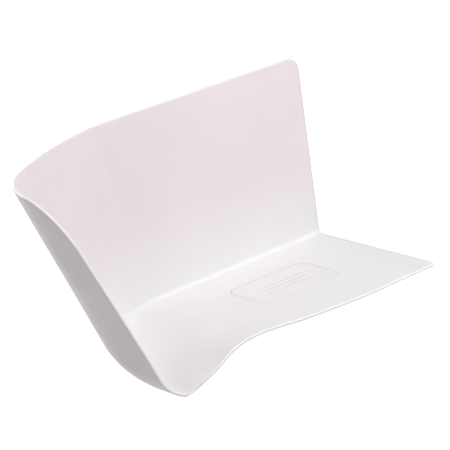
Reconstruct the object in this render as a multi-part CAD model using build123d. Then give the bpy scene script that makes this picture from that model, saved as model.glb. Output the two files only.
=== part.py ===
from build123d import *
import math
import os

# Moulded patient arm guard, built in millimetres, +Z up, +X along the crease, +Y to the rear.
# One sheet: a flat flange, a tall back wall that wraps round into a splayed end wall, and a gutter
# that opens to the front beside the end wall. Heights are from the flange's top face and lengths
# from the open end, until the last step puts the origin under the middle of the part's box.

sheet_thickness = 3.0
wall_height = 183.0            # flange top to the rim
flange_depth = 164.0           # crease to the front edge
flat_length = 90.0             # flange and wall that stay flat, from the open end
foot_length = 327.5            # open end to the foot of the end wall
end_splay = 72.0               # the end wall's rim is this much further out than its foot
rim_length = foot_length + end_splay

# plan of the wall's inner face, at the foot: back, first facet, second facet, end wall
foot_bend_at = foot_length - 113.5     # where back and first facet meet
foot_turn_at = foot_length - 86.5      # where the two facets meet
foot_facets = (10.0, 38.5)             # degrees
foot_radii = (40.0, 22.0, 122.0)
# the same at the rim
rim_bend_at = rim_length - 152.0
rim_turn_at = rim_length - 92.5
rim_facets = (17.5, 31.5)
rim_radii = (40.0, 300.0, 97.0)

# the front edge: a swell, then a fall into the gutter
swell_at = foot_length - 98.5
swell_rise = 7.8
swell_middle_share = 0.42      # rise halfway to the swell's top, as a share of the rise
fall_start_at = foot_length - 77.5
fall_start_height = 4.0
fall_middle_height = -4.0
fall_end_at = foot_length - 38.5
fall_end_height = -11.3
gutter_at = foot_length - 24.5
gutter_depth = 17.0
front_end_slope = 0.1          # slope of the front edge where it meets the end wall
front_flare = 4.5              # the front edge runs forward by this much beside the end wall

end_foot_depth = 8.0           # foot of the end wall at the front, under the flange's top face
bank_slope = 0.42              # rise from the gutter to the end wall's foot
gutter_dip = 0.15              # slope into the gutter part of the way round
crease_radius = 4.0
cove_radius = 42.0             # foot of the end wall, at the front
cove_from, cove_to = 0.22, 0.78        # shares of the turn where the crease opens into the cove
floor_pull = 0.4               # how far the floor keeps its slope at each end

rim_lean = 5.0                 # degrees that the end wall's front edge leans back
rim_lean_from = 27.0
rim_lean_radius = 150.0        # the lean begins gradually
rim_front_radius = 46.0
back_corner_radius = 13.0
flange_corner_radius = 5.5
overrun = 60.0                 # tools reach past the sheet by this much

label_length = 97.0
label_depth = 64.0
label_radius = 15.0
label_thickness = 0.15
label_from_open_end = 65.0
label_from_crease = 45.0

# places round the sheet: for each stretch of the wall's plan, its share of the front edge
# and the number of sections in it
stretches = (
    (0.00, 0.54, 4),           # back
    (0.54, 0.57, 2),           # bend
    (0.57, 0.66, 2),           # first facet
    (0.66, 0.70, 2),           # turn
    (0.70, 0.79, 2),           # second facet
    (0.79, 0.93, 5),           # corner
    (0.93, 1.00, 2),           # end wall
)
turn_share = stretches[1][0]
up = Vector(0, 0, 1)


def wall_plan(bend_at, turn_at, length, facets, radii):
    """Edges of the wall's inner face in plan, from the flat part to the front."""
    turn_y = -(turn_at - bend_at) * math.tan(math.radians(facets[0]))
    corner_y = turn_y - (length - turn_at) * math.tan(math.radians(facets[1]))
    outline = FilletPolyline(
        (-flat_length, 0),
        (-bend_at, 0),
        (-turn_at, turn_y),
        (-length, corner_y),
        (-length, -flange_depth - front_flare),
        radius=radii,
    )
    return outline.edges()


def between(near, far, share):
    return near + (far - near) * share


def smooth(share):
    """Share from 0 to 1 that starts and ends gently."""
    return share * share * (3 - 2 * share)


def skin(start, foot, rim, slopes, radius):
    """One face of the sheet in a section: curved floor, arc, straight wall."""
    arrive = Vector(1, slopes[1]).normalized()
    leave = (rim - foot).normalized()
    turn = math.acos(arrive.dot(leave))
    tangent = radius * math.tan(turn / 2)
    arc_start = foot - arrive * tangent
    arc_middle = foot + (leave - arrive).normalized() * (radius / math.cos(turn / 2) - radius)
    arc_end = foot + leave * tangent
    pull = (arc_start - start).length * floor_pull
    floor = Bezier(
        start,
        start + Vector(1, slopes[0]).normalized() * pull,
        arc_start - arrive * pull,
        arc_start,
    )
    return [floor, ThreePointArc(arc_start, arc_middle, arc_end), Line(arc_end, rim)]


def section(stretch, share):
    """Outline of the sheet in the plane through the front edge, the wall's foot and its rim."""
    front_share = between(stretches[stretch][0], stretches[stretch][1], share)
    around = max(0.0, (front_share - turn_share) / (1 - turn_share))
    settled = smooth(around)
    start = front_edge @ front_share
    foot = foot_plan[stretch] @ share
    rim = rim_plan[stretch] @ share + up * wall_height
    foot = between(foot, rim, -end_foot_depth * settled / wall_height)
    across = (foot - start).cross(rim - start)
    plane = Plane(start, x_dir=up.cross(across), z_dir=across)
    foot, rim = plane.to_local_coords(foot), plane.to_local_coords(rim)
    bank = between(foot.Y / foot.X, bank_slope, settled)
    dip = between(foot.Y / foot.X, 0, settled) - gutter_dip * math.sin(math.pi * around)
    opened = smooth(min(1.0, max(0.0, (around - cove_from) / (cove_to - cove_from))))
    radius = between(crease_radius, cove_radius, opened)
    under = Vector(bank, -1).normalized()
    wall = (rim - foot).normalized()
    behind = Vector(wall.Y, -wall.X)
    foot_out = foot + (under + behind) * (sheet_thickness / (1 + under.dot(behind)))
    rim_out = rim + Vector(sheet_thickness / wall.Y, 0)
    start_out = Vector(0, -sheet_thickness)
    inner = skin(Vector(0, 0), foot, rim, (dip, bank), radius)
    outer = skin(start_out, foot_out, rim_out, (dip, bank), radius + sheet_thickness)
    return plane * make_face([*inner, Line(rim, rim_out), *outer, Line(start_out, (0, 0))])


foot_plan = wall_plan(foot_bend_at, foot_turn_at, foot_length, foot_facets, foot_radii)
rim_plan = wall_plan(rim_bend_at, rim_turn_at, rim_length, rim_facets, rim_radii)
front_edge = Spline(
    (-flat_length, -flange_depth, 0),
    (-(flat_length + swell_at) / 2, -flange_depth, swell_rise * swell_middle_share),
    (-swell_at, -flange_depth, swell_rise),
    (-fall_start_at, -flange_depth - front_flare / 4, fall_start_height),
    ((-fall_start_at - fall_end_at) / 2, -flange_depth - front_flare * 3 / 4, fall_middle_height),
    (-fall_end_at, -flange_depth - front_flare, fall_end_height),
    (-gutter_at, -flange_depth - front_flare, -gutter_depth),
    tangents=[(-1, 0, 0), (-1, 0, -front_end_slope)],
)

# the sheet: a flat part, then a stretch of sections for each edge of the plan
flat_inner = FilletPolyline((-flange_depth, 0), (0, 0), (0, wall_height), radius=crease_radius)
flat_outer = FilletPolyline(
    (-flange_depth, -sheet_thickness),
    (sheet_thickness, -sheet_thickness),
    (sheet_thickness, wall_height),
    radius=crease_radius + sheet_thickness,
)
flat_ends = [Line(flat_inner @ 0, flat_outer @ 0), Line(flat_inner @ 1, flat_outer @ 1)]
flat_face = Plane.YZ * make_face([*flat_inner.edges(), *flat_outer.edges(), *flat_ends])
sheet = extrude(flat_face, flat_length, dir=(-1, 0, 0))
for stretch, (_, _, count) in enumerate(stretches):
    sheet += loft([section(stretch, step / count) for step in range(count + 1)])

# trim the end wall's front edge, which leans back and rounds over into the rim
front_y = -flange_depth - front_flare
lean_run = (wall_height - rim_lean_from) * math.tan(math.radians(rim_lean))
side_line = FilletPolyline(
    (front_y, -overrun),
    (front_y, rim_lean_from),
    (front_y + lean_run, wall_height),
    (overrun, wall_height),
    radius=(rim_lean_radius, rim_front_radius),
)
side_rest = Polyline((overrun, wall_height), (overrun, -overrun), (front_y, -overrun))
side_face = Plane.YZ * make_face([*side_line.edges(), *side_rest.edges()])
side_trim = extrude(side_face, rim_length + overrun, dir=(-1, 0, 0))

# round the back wall's free corner and the flange's free corner
wall_corner = Pos(-back_corner_radius, 0, wall_height - back_corner_radius) * (
    Box(back_corner_radius, overrun, back_corner_radius, align=(Align.MIN, Align.CENTER, Align.MIN))
    - Rot(90, 0, 0) * Cylinder(back_corner_radius, overrun))
flange_corner = Pos(-flange_corner_radius, flange_corner_radius - flange_depth, 0) * (
    Box(flange_corner_radius, flange_corner_radius, overrun, align=(Align.MIN, Align.MAX, Align.CENTER))
    - Cylinder(flange_corner_radius, overrun))
shell = (sheet & side_trim) - wall_corner - flange_corner

# the label is a film that follows the flange's face
label_prism = extrude(RectangleRounded(label_length, label_depth, label_radius), overrun / 2, both=True)
label_prism = Pos(
    -label_from_open_end - label_length / 2, -label_from_crease - label_depth / 2, 0) * label_prism
label = (Pos(0, 0, label_thickness) * shell & label_prism) - shell

# origin under the middle of the part's box, read from its own fine mesh
points, _ = shell.tessellate(0.02, 0.1)
low_x, high_x = (pick(point.X for point in points) for pick in (min, max))
low_y, high_y = (pick(point.Y for point in points) for pick in (min, max))
low_z = min(point.Z for point in points)
place = Pos(-(low_x + high_x) / 2, -(low_y + high_y) / 2, -low_z)
parts = {"guard_shell": place * shell, "flange_label": place * label}

os.makedirs("parts", exist_ok=True)
for name, part in parts.items():
    export_step(part, f"parts/{name}.step")
    print(name, "solids", len(part.solids()), "valid", part.is_valid, "volume", round(part.volume, 1))
print("size", round(high_x - low_x, 3), round(high_y - low_y, 3), round(wall_height - low_z, 3))
print("crease's right end", place.position)
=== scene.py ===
import math

import bmesh
import bpy
from mathutils import Matrix, Vector


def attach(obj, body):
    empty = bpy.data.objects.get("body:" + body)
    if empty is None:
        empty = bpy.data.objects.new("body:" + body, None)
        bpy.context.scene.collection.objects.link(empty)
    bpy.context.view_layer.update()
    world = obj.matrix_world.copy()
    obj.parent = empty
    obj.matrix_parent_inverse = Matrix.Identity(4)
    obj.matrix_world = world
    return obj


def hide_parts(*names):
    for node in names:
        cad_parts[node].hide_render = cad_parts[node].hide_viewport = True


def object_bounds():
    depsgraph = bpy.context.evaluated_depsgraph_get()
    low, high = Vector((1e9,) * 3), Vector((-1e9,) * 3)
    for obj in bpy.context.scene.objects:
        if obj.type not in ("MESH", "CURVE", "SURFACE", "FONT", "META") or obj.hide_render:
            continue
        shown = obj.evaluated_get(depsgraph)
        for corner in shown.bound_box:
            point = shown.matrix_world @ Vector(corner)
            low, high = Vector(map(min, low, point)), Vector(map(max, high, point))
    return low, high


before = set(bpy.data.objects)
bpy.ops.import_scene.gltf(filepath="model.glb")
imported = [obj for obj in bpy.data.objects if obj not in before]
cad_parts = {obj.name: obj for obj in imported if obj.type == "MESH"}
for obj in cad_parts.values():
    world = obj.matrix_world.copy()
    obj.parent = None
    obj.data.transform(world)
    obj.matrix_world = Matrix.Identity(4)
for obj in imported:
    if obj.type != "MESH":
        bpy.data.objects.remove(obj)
cadLow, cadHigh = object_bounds()
print("frame loaded")

mm = 0.001

# sizes of the guard in millimetres; lengths run from the open end, heights from the flange
shellSizes = {
    "sheetThickness": 3.0,
    "seenThickness": 2.6,  # the edges are drawn a little thinner, inside the solid sheet
    "wallHeight": 183.0,
    "flangeDepth": 164.0,
    "frontFlare": 4.4,
    "nearEndReach": 30.0,  # how far from the open end its corners are rounded
    "endWallFrom": 250.0,  # the end wall's front edge is past this length
    "frontReach": 100.0,  # and no deeper than this
    "endFootDepth": 8.0,
    "bankSlope": 0.42,
    "gutterDip": 0.15,
    "floorPull": 0.4,
    "creaseRadius": 4.0,
    "coveRadius": 42.0,
    "leanFrom": 27.0,
    "leanDegrees": 5.0,
    "rimFrontRadius": 46.0,
    "wallCornerRadius": 13.0,
    "flangeCornerRadius": 5.5,
    "edgeRounding": 0.6,
    "weldDistance": 0.01,
}
# wall corners in plan: length from the open end, depth from the crease, corner radius
footPlan = [(0, 0, 0), (214, 0, 24), (241, 4.8, 46), (327.5, 73.6, 122), (327.5, 168.4, 0)]
rimPlan = [(0, 0, 0), (247.5, 0, 24), (307, 18.8, 300), (399.4, 75.4, 97), (399.4, 168.4, 0)]
# front edge: length from the open end, depth from the crease, height over the flange
frontLine = [
    (0, 164, 0), (45, 164, 0), (90, 164, 0), (159.5, 164, 3.3), (229, 164, 7.8),
    (250, 165.1, 4.0), (269.5, 167.4, -4.0), (289, 168.4, -11.3), (303, 168.4, -17.0),
]
# where the columns of the sheet fall: share of columns, share of wall rails
columnPlaces = [
    (0.0, 0.0), (0.03, 0.0024), (0.16, 1 / 28), (0.24, 9 / 28), (0.32, 10 / 28),
    (0.42, 18 / 28), (0.5, 19 / 28), (0.85, 27 / 28), (1.0, 1.0),
]
# where a section starts on the front edge: share of the foot's length, share of the front edge
frontPlaces = [(0.0, 0.0), (0.24, 0.3375), (0.48, 0.675), (0.56, 0.775), (0.67, 0.852),
               (0.79, 0.903), (0.92, 0.951), (1.0, 1.0)]
turnShare = frontPlaces[2][1]
frontResolution = 16  # steps between two points of the front edge
frontCrowding, rimCrowding = 1.4, 1.5  # powers that crowd rows towards the front edge and the rim
rayStart, rayReach = 1.0, 2.0  # metres, so that a ray starts past the guard and crosses it
rayDrop = 0.0002  # a ray level with the rim itself would miss
coveShares = (0.22, 0.78)  # shares of the turn where the crease opens into the cove

size = {name: value * mm for name, value in shellSizes.items()}
openEnd = Vector((cadHigh.x, cadHigh.y - size["sheetThickness"], cadHigh.z - size["wallHeight"]))


def place(length, depth, height=0.0):
    # point of the frame for a length, depth and height in millimetres
    return openEnd + Vector((-length, -depth, height)) * mm


class TreeMaker:
    # short calls for the nodes of one geometry tree

    nodesPerColumn, columnGap, rowGap = 12, 190, 170

    def __init__(self, name):
        self.tree = bpy.data.node_groups.new(name, "GeometryNodeTree")
        self.count = 0

    def node(self, kind, *values, **settings):
        made = self.tree.nodes.new(kind)
        column, row = divmod(self.count, self.nodesPerColumn)
        made.location = (column * self.columnGap, -row * self.rowGap)
        self.count += 1
        for name, value in settings.items():
            setattr(made, name, value)
        for socket, value in zip([s for s in made.inputs if s.enabled], values):
            self.join(value, socket)
        return made

    def join(self, value, socket):
        if isinstance(value, bpy.types.Node):
            value = next(s for s in value.outputs if s.enabled)
        if isinstance(value, bpy.types.NodeSocket):
            self.tree.links.new(value, socket)
        elif value is not None:
            socket.default_value = value

    def socket(self, name, kind, way="INPUT"):
        return self.tree.interface.new_socket(name, in_out=way, socket_type=kind)

    def math(self, operation, *values, clamp=False):
        return self.node("ShaderNodeMath", *values, operation=operation, use_clamp=clamp)

    def vector(self, operation, *values):
        return self.node("ShaderNodeVectorMath", *values, operation=operation)

    def add(self, first, second):
        return self.vector("ADD", first, second)

    def away(self, first, second):
        return self.vector("SUBTRACT", first, second)

    def scaled(self, vector, factor):
        made = self.node("ShaderNodeVectorMath", vector, operation="SCALE")
        self.join(factor, made.inputs["Scale"])
        return made

    def unit(self, vector):
        return self.vector("NORMALIZE", vector)

    def between(self, first, second, share):
        return self.add(first, self.scaled(self.away(second, first), share))

    def mixed(self, first, second, share):
        return self.math("MULTIPLY_ADD", self.math("SUBTRACT", second, first), share, first)

    def curve(self, value, points, handle):
        made = self.node("ShaderNodeFloatCurve")
        self.join(value, made.inputs["Value"])
        line = made.mapping.curves[0]
        line.points[0].location, line.points[1].location = points[0], points[-1]
        for point in points[1:-1]:
            line.points.new(*point)
        for point in line.points:
            point.handle_type = handle
        made.mapping.update()
        return made


def cornerGroup():
    # bends a square corner of the sheet's grid round a radius
    maker = TreeMaker("Round Corner")
    for name in ("First Distance", "Second Distance", "Radius"):
        maker.socket(name, "NodeSocketFloat")
    for name in ("First Distance", "Second Distance"):
        maker.socket(name, "NodeSocketFloat", "OUTPUT")
    given = maker.node("NodeGroupInput")
    first, second, radius = given.outputs[0], given.outputs[1], given.outputs[2]
    shares = [
        maker.math("MAXIMUM", maker.math("SUBTRACT", 1.0, maker.math("DIVIDE", value, radius)), 0.0)
        for value in (first, second)
    ]
    longest = maker.math("MAXIMUM", *shares)
    both = maker.math("GREATER_THAN", maker.math("MINIMUM", *shares), 0.0)
    squares = [maker.math("MULTIPLY", share, share) for share in shares]
    span = maker.math("MAXIMUM", maker.math("SQRT", maker.math("ADD", *squares)), 1e-6)
    shrink = maker.math("DIVIDE", longest, span)
    out = maker.node("NodeGroupOutput")
    for index, (value, share) in enumerate(zip((first, second), shares)):
        bent = maker.math("MULTIPLY", maker.math(
            "SUBTRACT", 1.0, maker.math("MULTIPLY", share, shrink)), radius)
        maker.join(maker.mixed(value, bent, both), out.inputs[index])
    return maker.tree


def shellTree(material):
    # sheet lofted between three rails: front edge, foot of the wall, rim
    maker = TreeMaker("Guard Sheet")
    maker.socket("Geometry", "NodeSocketGeometry")
    names = [
        "Foot Depth", "Bank Slope", "Gutter Dip", "Floor Pull", "Crease Radius", "Cove Radius",
        "Wall Height", "Lean From", "Lean Slope", "Rim Front Radius", "Wall Corner Radius",
        "Flange Corner Radius", "Open End X", "Front Y", "Flange Front Y", "Flange Z",
        "Near End Reach", "End Wall From", "Front Reach",
    ]
    for name in names:
        maker.socket(name, "NodeSocketFloat")
    for name in ("Columns", "Floor Rows", "Arc Rows", "Wall Rows", "Arc Points", "Rail Cuts"):
        maker.socket(name, "NodeSocketInt")
    maker.socket("Geometry", "NodeSocketGeometry", "OUTPUT")
    given = maker.node("NodeGroupInput").outputs

    # the three rails come in as one curve object
    rails = []
    for number in range(3):
        picked = maker.node(
            "FunctionNodeCompare", maker.node("GeometryNodeInputIndex"), number,
            data_type="INT", operation="EQUAL")
        rails.append(maker.node(
            "GeometryNodeSeparateGeometry", given["Geometry"], picked, domain="CURVE"))
    wallRails = []
    for rail in rails[1:]:
        rounded = maker.node("GeometryNodeFilletCurve", mode="POLY")
        maker.join(rail, rounded.inputs["Curve"])
        maker.join(given["Arc Points"], rounded.inputs["Count"])
        maker.join(maker.node("GeometryNodeInputRadius"), rounded.inputs["Radius"])
        wallRails.append(maker.node("GeometryNodeSubdivideCurve", rounded, given["Rail Cuts"]))

    # columns run along the rails, rows from the front edge up to the rim
    rowTotal = maker.math("ADD", maker.math(
        "ADD", given["Floor Rows"], given["Arc Rows"]), given["Wall Rows"])
    rows = maker.node("FunctionNodeFloatToInt", maker.math("ADD", rowTotal, 1.0))
    grid = maker.node("GeometryNodeMeshGrid", 1.0, 1.0, given["Columns"], rows)
    index = maker.node("GeometryNodeInputIndex")
    row = maker.math("MODULO", index, rows)
    column = maker.math("DIVIDE", maker.math("FLOOR", maker.math(
        "DIVIDE", maker.math("ADD", index, 0.5), rows)), maker.math(
        "SUBTRACT", given["Columns"], 1.0))
    railShare = maker.curve(column, columnPlaces, "VECTOR")
    spotField = maker.node("GeometryNodeInputPosition")

    def onRail(rail, field=spotField, kind="FLOAT_VECTOR"):
        amount = maker.node("GeometryNodeAttributeDomainSize", rail, component="CURVE")
        last = maker.math("SUBTRACT", amount.outputs["Point Count"], 1.0)
        index = maker.math("MULTIPLY", railShare, last)
        ends = []
        for extra in (0.0, 1.0):
            whole = maker.node("FunctionNodeFloatToInt", maker.math(
                "MINIMUM", maker.math("ADD", maker.math("FLOOR", index), extra), last))
            sample = maker.node(
                "GeometryNodeSampleIndex", data_type=kind, domain="POINT", clamp=True)
            maker.join(rail, sample.inputs["Geometry"])
            maker.join(field, sample.inputs["Value"])
            maker.join(whole, sample.inputs["Index"])
            ends.append(sample)
        return (maker.mixed if kind == "FLOAT" else maker.between)(*ends, maker.math("FRACT", index))

    footShare = onRail(wallRails[0], maker.node("GeometryNodeSplineParameter"), "FLOAT")
    frontShare = maker.curve(footShare, frontPlaces, "AUTO_CLAMPED")
    start = maker.node("GeometryNodeSampleCurve", mode="FACTOR", data_type="FLOAT_VECTOR")
    maker.join(rails[0], start.inputs["Curves"])
    maker.join(frontShare, start.inputs["Factor"])
    start = start.outputs["Position"]
    rim = onRail(wallRails[1])

    # how far the section has turned from the straight part to the end wall
    around = maker.math("DIVIDE", maker.math(
        "SUBTRACT", frontShare, turnShare), 1.0 - turnShare, clamp=True)
    settled = maker.node("ShaderNodeMapRange", around, interpolation_type="SMOOTHSTEP")
    sunk = maker.math("DIVIDE", maker.math(
        "MULTIPLY", maker.math("MULTIPLY", given["Foot Depth"], settled), -1.0), given["Wall Height"])
    foot = maker.between(onRail(wallRails[0]), rim, sunk)

    # level and upright directions inside the section's plane
    across = maker.vector(
        "CROSS_PRODUCT", maker.away(foot, start), maker.away(rim, start))
    level = maker.unit(maker.vector("CROSS_PRODUCT", (0, 0, 1), across))
    upright = maker.unit(maker.vector("CROSS_PRODUCT", across, level))
    reach = maker.away(foot, start)
    run, rise = (
        maker.vector("DOT_PRODUCT", reach, way).outputs["Value"] for way in (level, upright))
    straight = maker.math("DIVIDE", rise, run)
    bank = maker.mixed(straight, given["Bank Slope"], settled)
    bulge = maker.math("SINE", maker.math("MULTIPLY", around, math.pi))
    dip = maker.math("SUBTRACT", maker.mixed(straight, 0.0, settled), maker.math(
        "MULTIPLY", given["Gutter Dip"], bulge))
    arrive = maker.unit(maker.add(level, maker.scaled(upright, bank)))
    begin = maker.unit(maker.add(level, maker.scaled(upright, dip)))
    leave = maker.unit(maker.away(rim, foot))
    turn = maker.math("ARCCOSINE", maker.vector("DOT_PRODUCT", arrive, leave).outputs["Value"])
    opened = maker.node("ShaderNodeMapRange", around, *coveShares, interpolation_type="SMOOTHSTEP")
    radius = maker.mixed(given["Crease Radius"], given["Cove Radius"], opened)
    tangent = maker.math("MULTIPLY", radius, maker.math(
        "TANGENT", maker.math("MULTIPLY", turn, 0.5)))
    arcStart = maker.away(foot, maker.scaled(arrive, tangent))
    arcEnd = maker.add(foot, maker.scaled(leave, tangent))
    inward = maker.unit(maker.vector(
        "CROSS_PRODUCT", maker.vector("CROSS_PRODUCT", arrive, leave), arrive))

    # floor: a cubic from the front edge to the arc
    share = maker.math("DIVIDE", row, given["Floor Rows"], clamp=True)
    share = maker.math("POWER", share, frontCrowding)
    pull = maker.math("MULTIPLY", maker.vector(
        "LENGTH", maker.away(arcStart, start)).outputs["Value"], given["Floor Pull"])
    cubic = [start, maker.add(start, maker.scaled(begin, pull)),
             maker.away(arcStart, maker.scaled(arrive, pull)), arcStart]
    while len(cubic) > 1:
        cubic = [maker.between(a, b, share) for a, b in zip(cubic, cubic[1:])]
    # arc between the floor and the wall
    past = maker.math("SUBTRACT", row, given["Floor Rows"])
    angle = maker.math("MULTIPLY", turn, maker.math("DIVIDE", past, given["Arc Rows"], clamp=True))
    forward = maker.math("MULTIPLY", radius, maker.math("SINE", angle))
    lifted = maker.math("MULTIPLY", radius, maker.math(
        "SUBTRACT", 1.0, maker.math("COSINE", angle)))
    arc = maker.add(maker.scaled(arrive, forward), maker.scaled(inward, lifted))
    # wall, with its rows closer together near the rim
    past = maker.math("SUBTRACT", past, given["Arc Rows"])
    down = maker.math("SUBTRACT", 1.0, maker.math("DIVIDE", past, given["Wall Rows"], clamp=True))
    climb = maker.math("SUBTRACT", 1.0, maker.math("POWER", down, rimCrowding))
    wall = maker.scaled(maker.away(rim, arcEnd), climb)
    spread = maker.node(
        "GeometryNodeSetPosition", grid, None, maker.add(maker.add(cubic[0], arc), wall))

    # free corners: flange, back wall, and the end wall's leaning front edge
    corner = cornerGroup()

    def rounded(first, second, radius):
        return maker.node("GeometryNodeGroup", first, second, radius, node_tree=corner)

    where = maker.node("ShaderNodeSeparateXYZ", maker.node("GeometryNodeInputPosition")).outputs
    fromEnd = maker.math("SUBTRACT", given["Open End X"], where["X"])
    fromFront = maker.math("SUBTRACT", where["Y"], given["Flange Front Y"])
    top = maker.math("ADD", given["Flange Z"], given["Wall Height"])
    onFlange = rounded(fromEnd, fromFront, given["Flange Corner Radius"])
    onWall = rounded(onFlange.outputs[0], maker.math(
        "SUBTRACT", top, where["Z"]), given["Wall Corner Radius"])
    moved = maker.node("ShaderNodeCombineXYZ", maker.math(
        "SUBTRACT", given["Open End X"], onWall.outputs[0]), maker.math(
        "ADD", given["Flange Front Y"], onFlange.outputs[1]), maker.math(
        "SUBTRACT", top, onWall.outputs[1]))
    nearEnd = maker.math("LESS_THAN", fromEnd, given["Near End Reach"])
    trimmed = maker.node("GeometryNodeSetPosition", spread, nearEnd, moved)
    frontGap = maker.math("SUBTRACT", where["Y"], given["Front Y"])
    onRim = rounded(frontGap, maker.math("SUBTRACT", top, where["Z"]), given["Rim Front Radius"])
    newZ = maker.math("SUBTRACT", top, onRim.outputs[1])
    above = maker.math("MAXIMUM", maker.math("SUBTRACT", maker.math(
        "SUBTRACT", newZ, given["Flange Z"]), given["Lean From"]), 0.0)
    fade = maker.math("SUBTRACT", 1.0, maker.math(
        "DIVIDE", onRim.outputs[0], given["Front Reach"], clamp=True))
    lean = maker.math("MULTIPLY", maker.math("MULTIPLY", above, given["Lean Slope"]), fade)
    newY = maker.math("ADD", maker.math("ADD", given["Front Y"], onRim.outputs[0]), lean)
    outside = maker.math("SUBTRACT", given["Open End X"], rayStart)
    hit = maker.node("GeometryNodeRaycast")
    maker.join(spread, hit.inputs["Target Geometry"])
    aimZ = maker.math("SUBTRACT", newZ, rayDrop)
    maker.join(maker.node("ShaderNodeCombineXYZ", outside, newY, aimZ), hit.inputs["Source Position"])
    hit.inputs["Ray Direction"].default_value = (1, 0, 0)
    hit.inputs["Ray Length"].default_value = rayReach
    hitX = maker.node("ShaderNodeSeparateXYZ", hit.outputs["Hit Position"]).outputs["X"]
    onSurface = maker.node("ShaderNodeCombineXYZ", hitX, newY, newZ)
    endWall = maker.math("MULTIPLY", maker.math("MULTIPLY", maker.math(
        "GREATER_THAN", past, 0.0), maker.math("LESS_THAN", frontGap, given["Front Reach"])),
        maker.math("GREATER_THAN", fromEnd, given["End Wall From"]))
    wanted = maker.node("FunctionNodeBooleanMath", endWall, hit.outputs["Is Hit"], operation="AND")
    finished = maker.node("GeometryNodeSetPosition", trimmed, wanted, onSurface)

    turned = maker.node("GeometryNodeFlipFaces", finished)
    smooth = maker.node("GeometryNodeSetShadeSmooth", turned)
    whole = maker.node("GeometryNodeRealizeInstances", smooth)
    coloured = maker.node("GeometryNodeSetMaterial", whole)
    coloured.inputs["Material"].default_value = material
    maker.join(coloured, maker.node("NodeGroupOutput").inputs[0])
    return maker.tree


def useTree(holder, tree, values):
    # adds the tree to an object and sets its inputs by identifier
    modifier = holder.modifiers.new(tree.name, "NODES")
    modifier.node_group = tree
    for item in tree.interface.items_tree:
        if item.item_type == "SOCKET" and item.name in values:
            modifier[item.identifier] = values[item.name]
    return modifier


def plainMesh(holder, name):
    # the evaluated object as a plain mesh object of its own
    bpy.context.view_layer.update()
    graph = bpy.context.evaluated_depsgraph_get()
    mesh = bpy.data.meshes.new_from_object(
        holder.evaluated_get(graph), preserve_all_data_layers=True, depsgraph=graph)
    mesh.name = name
    made = bpy.data.objects.new(name, mesh)
    bpy.context.scene.collection.objects.link(made)
    holder.modifiers.clear()
    bpy.data.objects.remove(holder)
    return made


def closeSeams(made, distance):
    # welds points that a bevel pinched together, and says what is still open
    mesh = bmesh.new()
    mesh.from_mesh(made.data)
    bmesh.ops.remove_doubles(mesh, verts=mesh.verts, dist=distance)
    bmesh.ops.dissolve_degenerate(mesh, dist=distance, edges=mesh.edges)
    openEdges = sum(1 for edge in mesh.edges if len(edge.link_faces) != 2)
    mesh.to_mesh(made.data)
    mesh.free()
    print(made.name, "open edges:", openEdges)


def railCurve():
    # one curve object that holds the front edge, the foot and the rim
    data = bpy.data.curves.new("guardRails", "CURVE")
    data.dimensions = "3D"
    front = data.splines.new("BEZIER")
    front.bezier_points.add(len(frontLine) - 1)
    front.resolution_u = frontResolution
    for point, spot in zip(front.bezier_points, frontLine):
        point.co = place(*spot)
        point.handle_left_type = point.handle_right_type = "AUTO"
    for plan, height in ((footPlan, 0.0), (rimPlan, shellSizes["wallHeight"])):
        rail = data.splines.new("POLY")
        rail.points.add(len(plan) - 1)
        for point, (length, depth, radius) in zip(rail.points, plan):
            point.co = (*place(length, depth, height), 1.0)
            point.radius = radius * mm
    rails = bpy.data.objects.new("guardRails", data)
    bpy.context.scene.collection.objects.link(rails)
    return rails


plasticLook = {
    "low": ((0.83, 0.815, 0.82), (0.85, 0.84, 0.84)),  # patchy white of the flange
    "high": ((0.83, 0.745, 0.772), (0.86, 0.78, 0.805)),  # painted light: pinker, slightly darker white up the walls, a pink cast of light painted into their colour
    # cut edges lighter than the faces: a painted highlight along the rims and the flange's front edge
    "paintedHighlightEdge": ((0.94, 0.92, 0.93), (0.97, 0.96, 0.96)),
    # heights over which the painted pink cast of light rises onto the walls
    "paintedPinkFrom": 0.02,
    "paintedPinkFull": 0.12,
    "paintedPinkEndFrom": 0.318,  # the painted pink cast covers the end wall down to its foot: lengths from the open end
    "paintedPinkEndFull": 0.336,
    "faceRoughness": (0.36, 0.46),
    "cutRoughness": (0.5, 0.62),
    "patchScale": 9.0,
    "patchDetail": 3.0,
    "rubScale": 60.0,
    "rubDetail": 4.0,
    "rubStretch": (1.0, 0.25, 0.25),
    "grainScale": 1400.0,
    "grainDetail": 2.0,
    "grainDepth": 0.0004,
    "cutStretch": (1.0, 1.0, 0.08),
    "refraction": 1.5,
    "faceGrain": 0.06,
    "cutGrain": 0.22,
}


def startMaterial(name):
    # a material with its shader, and short calls for the nodes that feed it
    material = bpy.data.materials.new(name)
    material.use_nodes = True
    nodes, links = material.node_tree.nodes, material.node_tree.links
    shader = nodes["Principled BSDF"]
    where = nodes.new("ShaderNodeTexCoord").outputs["Object"]
    return material, nodes, links, shader, where


def noise(nodes, links, where, scale, detail, stretch=None):
    # noise on the object's own place, drawn out along one way if asked
    if stretch:
        mapping = nodes.new("ShaderNodeMapping")
        mapping.inputs["Scale"].default_value = stretch
        links.new(where, mapping.inputs["Vector"])
        where = mapping.outputs["Vector"]
    made = nodes.new("ShaderNodeTexNoise")
    made.inputs["Scale"].default_value = scale
    made.inputs["Detail"].default_value = detail
    links.new(where, made.inputs["Vector"])
    return made.outputs["Fac"]


def ramp(nodes, links, value, low, high, lowEnd=0.35, highEnd=0.65):
    # blends two colours over the middle of a value's range
    made = nodes.new("ShaderNodeValToRGB")
    made.color_ramp.elements[0].position = lowEnd
    made.color_ramp.elements[1].position = highEnd
    made.color_ramp.elements[0].color = (*low, 1.0)
    made.color_ramp.elements[1].color = (*high, 1.0)
    links.new(value, made.inputs["Fac"])
    return made.outputs["Color"]


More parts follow.
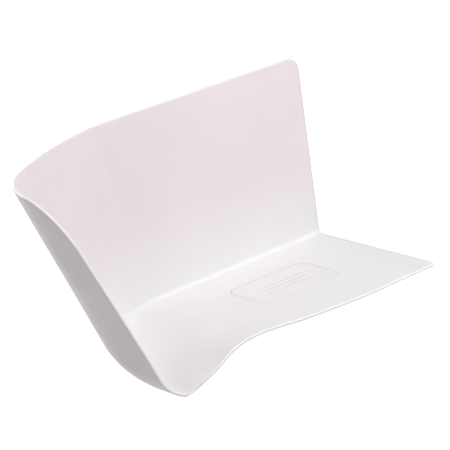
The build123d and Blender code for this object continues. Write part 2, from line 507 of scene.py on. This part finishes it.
def ranged(nodes, links, value, low, high):
    made = nodes.new("ShaderNodeMapRange")
    made.inputs["From Min"].default_value = 0.3
    made.inputs["From Max"].default_value = 0.7
    made.inputs["To Min"].default_value = low
    made.inputs["To Max"].default_value = high
    links.new(value, made.inputs["Value"])
    return made.outputs["Result"]


def grained(nodes, links, shader, height, strength, distance):
    bump = nodes.new("ShaderNodeBump")
    bump.inputs["Strength"].default_value = strength
    bump.inputs["Distance"].default_value = distance
    links.new(height, bump.inputs["Height"])
    links.new(bump.outputs["Normal"], shader.inputs["Normal"])


def whitePlastic(name, low, high, roughness, grain, stretch=None):
    # satin white sheet plastic, patchy in tone, with a fine orange peel or saw grain; the second
    # colour, a painted pink cast of light, is blended in up the walls and over the end wall
    material, nodes, links, shader, where = startMaterial(name)
    patches = noise(nodes, links, where, plasticLook["patchScale"], plasticLook["patchDetail"])
    apart = nodes.new("ShaderNodeSeparateXYZ")
    links.new(where, apart.inputs[0])
    # painted pink cast of light: blended in with height and over the whole end wall
    climb = nodes.new("ShaderNodeMapRange")
    climb.interpolation_type = "SMOOTHSTEP"
    climb.inputs["From Min"].default_value = plasticLook["paintedPinkFrom"]
    climb.inputs["From Max"].default_value = plasticLook["paintedPinkFull"]
    links.new(apart.outputs["Z"], climb.inputs["Value"])
    nearEnd = nodes.new("ShaderNodeMapRange")
    nearEnd.interpolation_type = "SMOOTHSTEP"
    nearEnd.inputs["From Min"].default_value = openEnd.x - plasticLook["paintedPinkEndFull"]
    nearEnd.inputs["From Max"].default_value = openEnd.x - plasticLook["paintedPinkEndFrom"]
    nearEnd.inputs["To Min"].default_value = 1.0
    nearEnd.inputs["To Max"].default_value = 0.0
    links.new(apart.outputs["X"], nearEnd.inputs["Value"])
    either = nodes.new("ShaderNodeMath")
    either.operation = "MAXIMUM"
    links.new(climb.outputs["Result"], either.inputs[0])
    links.new(nearEnd.outputs["Result"], either.inputs[1])
    tone = nodes.new("ShaderNodeMix")
    tone.data_type = "RGBA"
    links.new(either.outputs[0], tone.inputs["Factor"])
    links.new(ramp(nodes, links, patches, *low), tone.inputs[6])
    links.new(ramp(nodes, links, patches, *high), tone.inputs[7])
    links.new(tone.outputs[2], shader.inputs["Base Color"])
    rubbed = noise(nodes, links, where, plasticLook["rubScale"], plasticLook["rubDetail"],
                   plasticLook["rubStretch"])
    links.new(ranged(nodes, links, rubbed, *roughness), shader.inputs["Roughness"])
    peel = noise(nodes, links, where, plasticLook["grainScale"], plasticLook["grainDetail"], stretch)
    grained(nodes, links, shader, peel, grain, plasticLook["grainDepth"])
    shader.inputs["IOR"].default_value = plasticLook["refraction"]
    return material


labelSizes = {
    "length": 97.0,
    "depth": 64.0,
    "cornerRadius": 15.0,
    "fromOpenEnd": 65.0,
    "fromCrease": 45.0,
    "lift": 0.12,
    "thickness": 0.2,
    "ringInset": 0.9,
    "ringWidth": 0.8,
    "ruleWidth": 1.3,
    "ruleSpacing": 8.0,
    "ruleHalfLength": 27.0,
    "ruleShift": 20.0,
    "ruleBlockHalf": 15.2,
    "dropFrom": 60.0,  # height over the flange from which the film is laid down
}
labelLook = {
    "ink": (0.56, 0.51, 0.53, 1.0),
    "inkFading": (0.35, 0.9),
    "roughness": (0.42, 0.55),
    "wearScale": 350.0,
    "wearDetail": 3.0,
    "filmScale": 30.0,
    "filmDetail": 2.0,
    "reliefStrength": 0.15,
    "reliefDepth": 0.0003,
}
labelGrid = (61, 41)  # points along and across the film


def labelFilm(middle):
    # clear film over white, with a thin ring and ruled lines in soft grey
    material, nodes, links, shader, where = startMaterial("labelFilm")
    sizes = {name: value * mm for name, value in labelSizes.items()}

    def inkMath(operation, *values):
        made = nodes.new("ShaderNodeMath")
        made.operation = operation
        for socket, value in zip(made.inputs, values):
            if isinstance(value, float):
                socket.default_value = value
            else:
                links.new(value, socket)
        return made.outputs[0]

    apart = nodes.new("ShaderNodeSeparateXYZ")
    links.new(where, apart.inputs[0])
    along = inkMath("SUBTRACT", apart.outputs["X"], middle.x)
    deep = inkMath("SUBTRACT", apart.outputs["Y"], middle.y)
    # distance from a rounded rectangle
    corner = sizes["cornerRadius"]
    beyond = [
        inkMath("SUBTRACT", inkMath("ABSOLUTE", value), half / 2 - corner)
        for value, half in ((along, sizes["length"]), (deep, sizes["depth"]))
    ]
    outside = [inkMath("MAXIMUM", value, 0.0) for value in beyond]
    span = inkMath("SQRT", inkMath("ADD", *(inkMath("MULTIPLY", value, value) for value in outside)))
    inner = inkMath("MINIMUM", inkMath("MAXIMUM", *beyond), 0.0)
    edge = inkMath("SUBTRACT", inkMath("ADD", span, inner), corner)
    ring = inkMath("LESS_THAN", inkMath("ABSOLUTE", inkMath(
        "ADD", edge, sizes["ringInset"])), sizes["ringWidth"] / 2)
    # ruled lines across the middle
    spacing = sizes["ruleSpacing"]
    lines = inkMath("PINGPONG", inkMath("ADD", deep, sizes["ruleShift"]), spacing / 2)
    rule = inkMath("GREATER_THAN", lines, spacing / 2 - sizes["ruleWidth"] / 2)
    inBlock = inkMath("LESS_THAN", inkMath("ABSOLUTE", deep), sizes["ruleBlockHalf"])
    inLine = inkMath("LESS_THAN", inkMath("ABSOLUTE", along), sizes["ruleHalfLength"])
    printed = inkMath("MAXIMUM", ring, inkMath(
        "MULTIPLY", inkMath("MULTIPLY", rule, inBlock), inLine))
    worn = noise(nodes, links, where, labelLook["wearScale"], labelLook["wearDetail"])
    fading = ranged(nodes, links, worn, *labelLook["inkFading"])
    ink = inkMath("MULTIPLY", printed, fading)
    clouds = noise(nodes, links, where, labelLook["filmScale"], labelLook["filmDetail"])
    film = ramp(nodes, links, clouds, *plasticLook["low"])
    mix = nodes.new("ShaderNodeMix")
    mix.data_type = "RGBA"
    links.new(ink, mix.inputs["Factor"])
    links.new(film, mix.inputs[6])
    mix.inputs[7].default_value = labelLook["ink"]
    links.new(mix.outputs[2], shader.inputs["Base Color"])
    links.new(ranged(nodes, links, worn, *labelLook["roughness"]), shader.inputs["Roughness"])
    grained(nodes, links, shader, printed, labelLook["reliefStrength"], labelLook["reliefDepth"])
    return material


def labelTree(material):
    # film with rounded corners that lies on the shell
    maker = TreeMaker("Label Film")
    maker.socket("Geometry", "NodeSocketGeometry")
    maker.socket("Shell", "NodeSocketObject")
    maker.socket("Centre", "NodeSocketVector")
    for name in ("Length", "Depth", "Corner Radius", "Lift"):
        maker.socket(name, "NodeSocketFloat")
    maker.socket("Geometry", "NodeSocketGeometry", "OUTPUT")
    given = maker.node("NodeGroupInput").outputs
    grid = maker.node("GeometryNodeMeshGrid", given["Length"], given["Depth"], *labelGrid)
    spot = maker.node("ShaderNodeSeparateXYZ", maker.node("GeometryNodeInputPosition")).outputs
    halves = [maker.math("MULTIPLY", given[name], 0.5) for name in ("Length", "Depth")]
    gaps = [
        maker.math("SUBTRACT", half, maker.math("ABSOLUTE", spot[axis]))
        for half, axis in zip(halves, "XY")
    ]
    bent = maker.node(
        "GeometryNodeGroup", *gaps, given["Corner Radius"], node_tree=cornerGroup())
    flat = [
        maker.math("MULTIPLY", maker.math("SIGN", spot[axis]), maker.math("SUBTRACT", half, gap))
        for axis, half, gap in zip("XY", halves, bent.outputs)
    ]
    over = maker.add(maker.node("ShaderNodeCombineXYZ", *flat, 0.0), given["Centre"])
    placed = maker.node("GeometryNodeSetPosition", grid, None, over)
    shell = maker.node("GeometryNodeObjectInfo", transform_space="RELATIVE")
    maker.join(given["Shell"], shell.inputs["Object"])
    hit = maker.node("GeometryNodeRaycast")
    maker.join(shell.outputs["Geometry"], hit.inputs["Target Geometry"])
    hit.inputs["Ray Direction"].default_value = (0, 0, -1)
    hit.inputs["Ray Length"].default_value = rayReach
    lifted = maker.add(hit.outputs["Hit Position"], maker.node(
        "ShaderNodeCombineXYZ", 0.0, 0.0, given["Lift"]))
    laid = maker.node("GeometryNodeSetPosition", placed, None, lifted)
    whole = maker.node("GeometryNodeRealizeInstances", maker.node(
        "GeometryNodeSetShadeSmooth", laid))
    coloured = maker.node("GeometryNodeSetMaterial", whole)
    coloured.inputs["Material"].default_value = material
    maker.join(coloured, maker.node("NodeGroupOutput").inputs[0])
    return maker.tree


def buildLabel(shell):
    sizes = labelSizes
    middle = place(
        sizes["fromOpenEnd"] + sizes["length"] / 2, sizes["fromCrease"] + sizes["depth"] / 2,
        sizes["dropFrom"])
    holder = bpy.data.objects.new("labelHolder", bpy.data.meshes.new("labelHolder"))
    bpy.context.scene.collection.objects.link(holder)
    useTree(holder, labelTree(labelFilm(middle)), {
        "Shell": shell,
        "Centre": middle,
        "Length": sizes["length"] * mm,
        "Depth": sizes["depth"] * mm,
        "Corner Radius": sizes["cornerRadius"] * mm,
        "Lift": sizes["lift"] * mm,
    })
    film = plainMesh(holder, "filmSheet")
    thick = film.modifiers.new("thickness", "SOLIDIFY")
    thick.thickness = sizes["thickness"] * mm
    thick.offset = -1.0
    label = plainMesh(film, "flangeLabel")
    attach(label, "root")
    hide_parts("flange_label")
    print("label built:", len(label.data.polygons), "faces")


sheetDetail = {  # how finely the sheet is divided
    "Columns": 221,
    "Floor Rows": 26,
    "Arc Rows": 10,
    "Wall Rows": 24,
    "Arc Points": 7,
    "Rail Cuts": 5,
}
edgeSegments, edgeDegrees = 3, 50.0


def buildShell():
    look = plasticLook
    face = whitePlastic(
        "whiteSheetPlastic", look["low"], look["high"], look["faceRoughness"], look["faceGrain"])
    # cut edges keep a saw grain, in a lighter colour that paints a highlight along the rims
    cut = whitePlastic(
        "paintedHighlightEdgePlastic", look["paintedHighlightEdge"], look["paintedHighlightEdge"], look["cutRoughness"], look["cutGrain"],
        look["cutStretch"])
    values = {
        "Foot Depth": size["endFootDepth"],
        "Bank Slope": shellSizes["bankSlope"],
        "Gutter Dip": shellSizes["gutterDip"],
        "Floor Pull": shellSizes["floorPull"],
        "Crease Radius": size["creaseRadius"],
        "Cove Radius": size["coveRadius"],
        "Wall Height": size["wallHeight"],
        "Lean From": size["leanFrom"],
        "Lean Slope": math.tan(math.radians(shellSizes["leanDegrees"])),
        "Rim Front Radius": size["rimFrontRadius"],
        "Wall Corner Radius": size["wallCornerRadius"],
        "Flange Corner Radius": size["flangeCornerRadius"],
        "Open End X": openEnd.x,
        "Front Y": openEnd.y - size["flangeDepth"] - size["frontFlare"],
        "Flange Front Y": openEnd.y - size["flangeDepth"],
        "Flange Z": openEnd.z,
        "Near End Reach": size["nearEndReach"],
        "End Wall From": size["endWallFrom"],
        "Front Reach": size["frontReach"],
        **sheetDetail,
    }
    rails = railCurve()
    useTree(rails, shellTree(face), values)
    sheet = plainMesh(rails, "guardSheet")
    sheet.data.materials.append(cut)
    thick = sheet.modifiers.new("thickness", "SOLIDIFY")
    thick.thickness = size["seenThickness"]
    thick.offset = -1.0
    thick.use_even_offset = True
    thick.material_offset_rim = 1
    edges = sheet.modifiers.new("edges", "BEVEL")
    edges.width = size["edgeRounding"]
    edges.segments = edgeSegments
    edges.limit_method = "ANGLE"
    edges.angle_limit = math.radians(edgeDegrees)
    edges.harden_normals = True
    shell = plainMesh(sheet, "whiteShell")
    closeSeams(shell, size["weldDistance"])
    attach(shell, "root")
    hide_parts("guard_shell")
    print("shell built:", len(shell.data.polygons), "faces")
    return shell


stageLook = {
    "floorColour": (0.55, 0.55, 0.55, 1.0),
    "floorGlow": 0.97,
    "floorSize": 40.0,
    "floorDrop": 0.0002,
    "worldSoft": 0.1,
    "lamps": {  # place from the middle of the guard, width, power
        "wallLamp": ((0.45, -0.8, 0.35), 0.35, 4.6),
        "overLamp": ((0.2, -0.2, 0.8), 0.5, 3.1),
        "sideLamp": ((-0.7, -0.1, 1.0), 0.6, 3.4),
        "frontFill": ((-1.0, -0.7, 0.1), 0.5, 1.5),
        "backLamp": ((0.0, 1.1, 0.3), 0.6, 6.0),
    },
}


def seenDirectly(nodes, links):
    # 1 for rays from the camera, a reflection or a clear body, 0 for diffuse light
    path = nodes.new("ShaderNodeLightPath")
    value = path.outputs["Is Camera Ray"]
    for name in ("Is Glossy Ray", "Is Transmission Ray"):
        either = nodes.new("ShaderNodeMath")
        either.operation = "MAXIMUM"
        links.new(value, either.inputs[0])
        links.new(path.outputs[name], either.inputs[1])
        value = either.outputs[0]
    return value


def buildFloor():
    # plain floor that takes the shadow and looks white
    bpy.ops.mesh.primitive_plane_add(
        size=stageLook["floorSize"], location=(0, 0, -stageLook["floorDrop"]))
    floor = bpy.context.object
    floor.name = "floor"
    material = bpy.data.materials.new("paleFloor")
    material.use_nodes = True
    nodes, links = material.node_tree.nodes, material.node_tree.links
    nodes.clear()
    diffuse = nodes.new("ShaderNodeBsdfDiffuse")
    diffuse.inputs["Color"].default_value = stageLook["floorColour"]
    level = nodes.new("ShaderNodeMath")
    level.operation = "MULTIPLY"
    level.inputs[1].default_value = stageLook["floorGlow"]
    links.new(seenDirectly(nodes, links), level.inputs[0])
    glow = nodes.new("ShaderNodeEmission")
    links.new(level.outputs[0], glow.inputs["Strength"])
    total = nodes.new("ShaderNodeAddShader")
    links.new(diffuse.outputs[0], total.inputs[0])
    links.new(glow.outputs[0], total.inputs[1])
    out = nodes.new("ShaderNodeOutputMaterial")
    links.new(total.outputs[0], out.inputs["Surface"])
    floor.data.materials.append(material)


def buildWorld():
    # faint even light, and white where it is seen
    world = bpy.data.worlds.new("studio")
    bpy.context.scene.world = world
    world.use_nodes = True
    nodes, links = world.node_tree.nodes, world.node_tree.links
    nodes.clear()
    shades = []
    for strength in (stageLook["worldSoft"], 1.0):
        shade = nodes.new("ShaderNodeBackground")
        shade.inputs["Color"].default_value = (1.0, 1.0, 1.0, 1.0)
        shade.inputs["Strength"].default_value = strength
        shades.append(shade)
    mix = nodes.new("ShaderNodeMixShader")
    links.new(seenDirectly(nodes, links), mix.inputs[0])
    for shade, socket in zip(shades, mix.inputs[1:]):
        links.new(shade.outputs[0], socket)
    out = nodes.new("ShaderNodeOutputWorld")
    links.new(mix.outputs[0], out.inputs["Surface"])


def buildLamps():
    # square soft lamps aimed at the middle of the guard
    middle = (cadLow + cadHigh) / 2
    for name, (offset, width, power) in stageLook["lamps"].items():
        data = bpy.data.lights.new(name, "AREA")
        data.size = width
        data.energy = power
        lamp = bpy.data.objects.new(name, data)
        lamp.location = middle + Vector(offset)
        lamp.rotation_euler = (middle - lamp.location).to_track_quat("-Z", "Y").to_euler()
        lamp.visible_camera = False
        bpy.context.scene.collection.objects.link(lamp)
    print("lamps placed:", len(stageLook["lamps"]))


cameraLook = {
    "fromOpenEnd": (-1.2016, -1.4582, 0.6625),
    "azimuth": 36.676,  # degrees from straight to the rear, towards the open end
    "tilt": -18.743,
    "roll": 8.287,
    "lens": 160.0,
    "sensorWidth": 36.0,
}


def buildCamera():
    data = bpy.data.cameras.new("camera")
    data.lens = cameraLook["lens"]
    data.sensor_width = cameraLook["sensorWidth"]
    camera = bpy.data.objects.new("camera", data)
    azimuth, tilt, roll = (
        math.radians(cameraLook[name]) for name in ("azimuth", "tilt", "roll"))
    turned = (Matrix.Rotation(-azimuth, 4, "Z") @ Matrix.Rotation(math.pi / 2 + tilt, 4, "X")
              @ Matrix.Rotation(-roll, 4, "Z"))
    camera.matrix_world = Matrix.Translation(openEnd + Vector(cameraLook["fromOpenEnd"])) @ turned
    bpy.context.scene.collection.objects.link(camera)
    bpy.context.scene.camera = camera
    print("camera placed")


buildLabel(buildShell())
buildFloor()
buildWorld()
buildLamps()
buildCamera()
bpy.context.scene.view_settings.view_transform = "Standard"
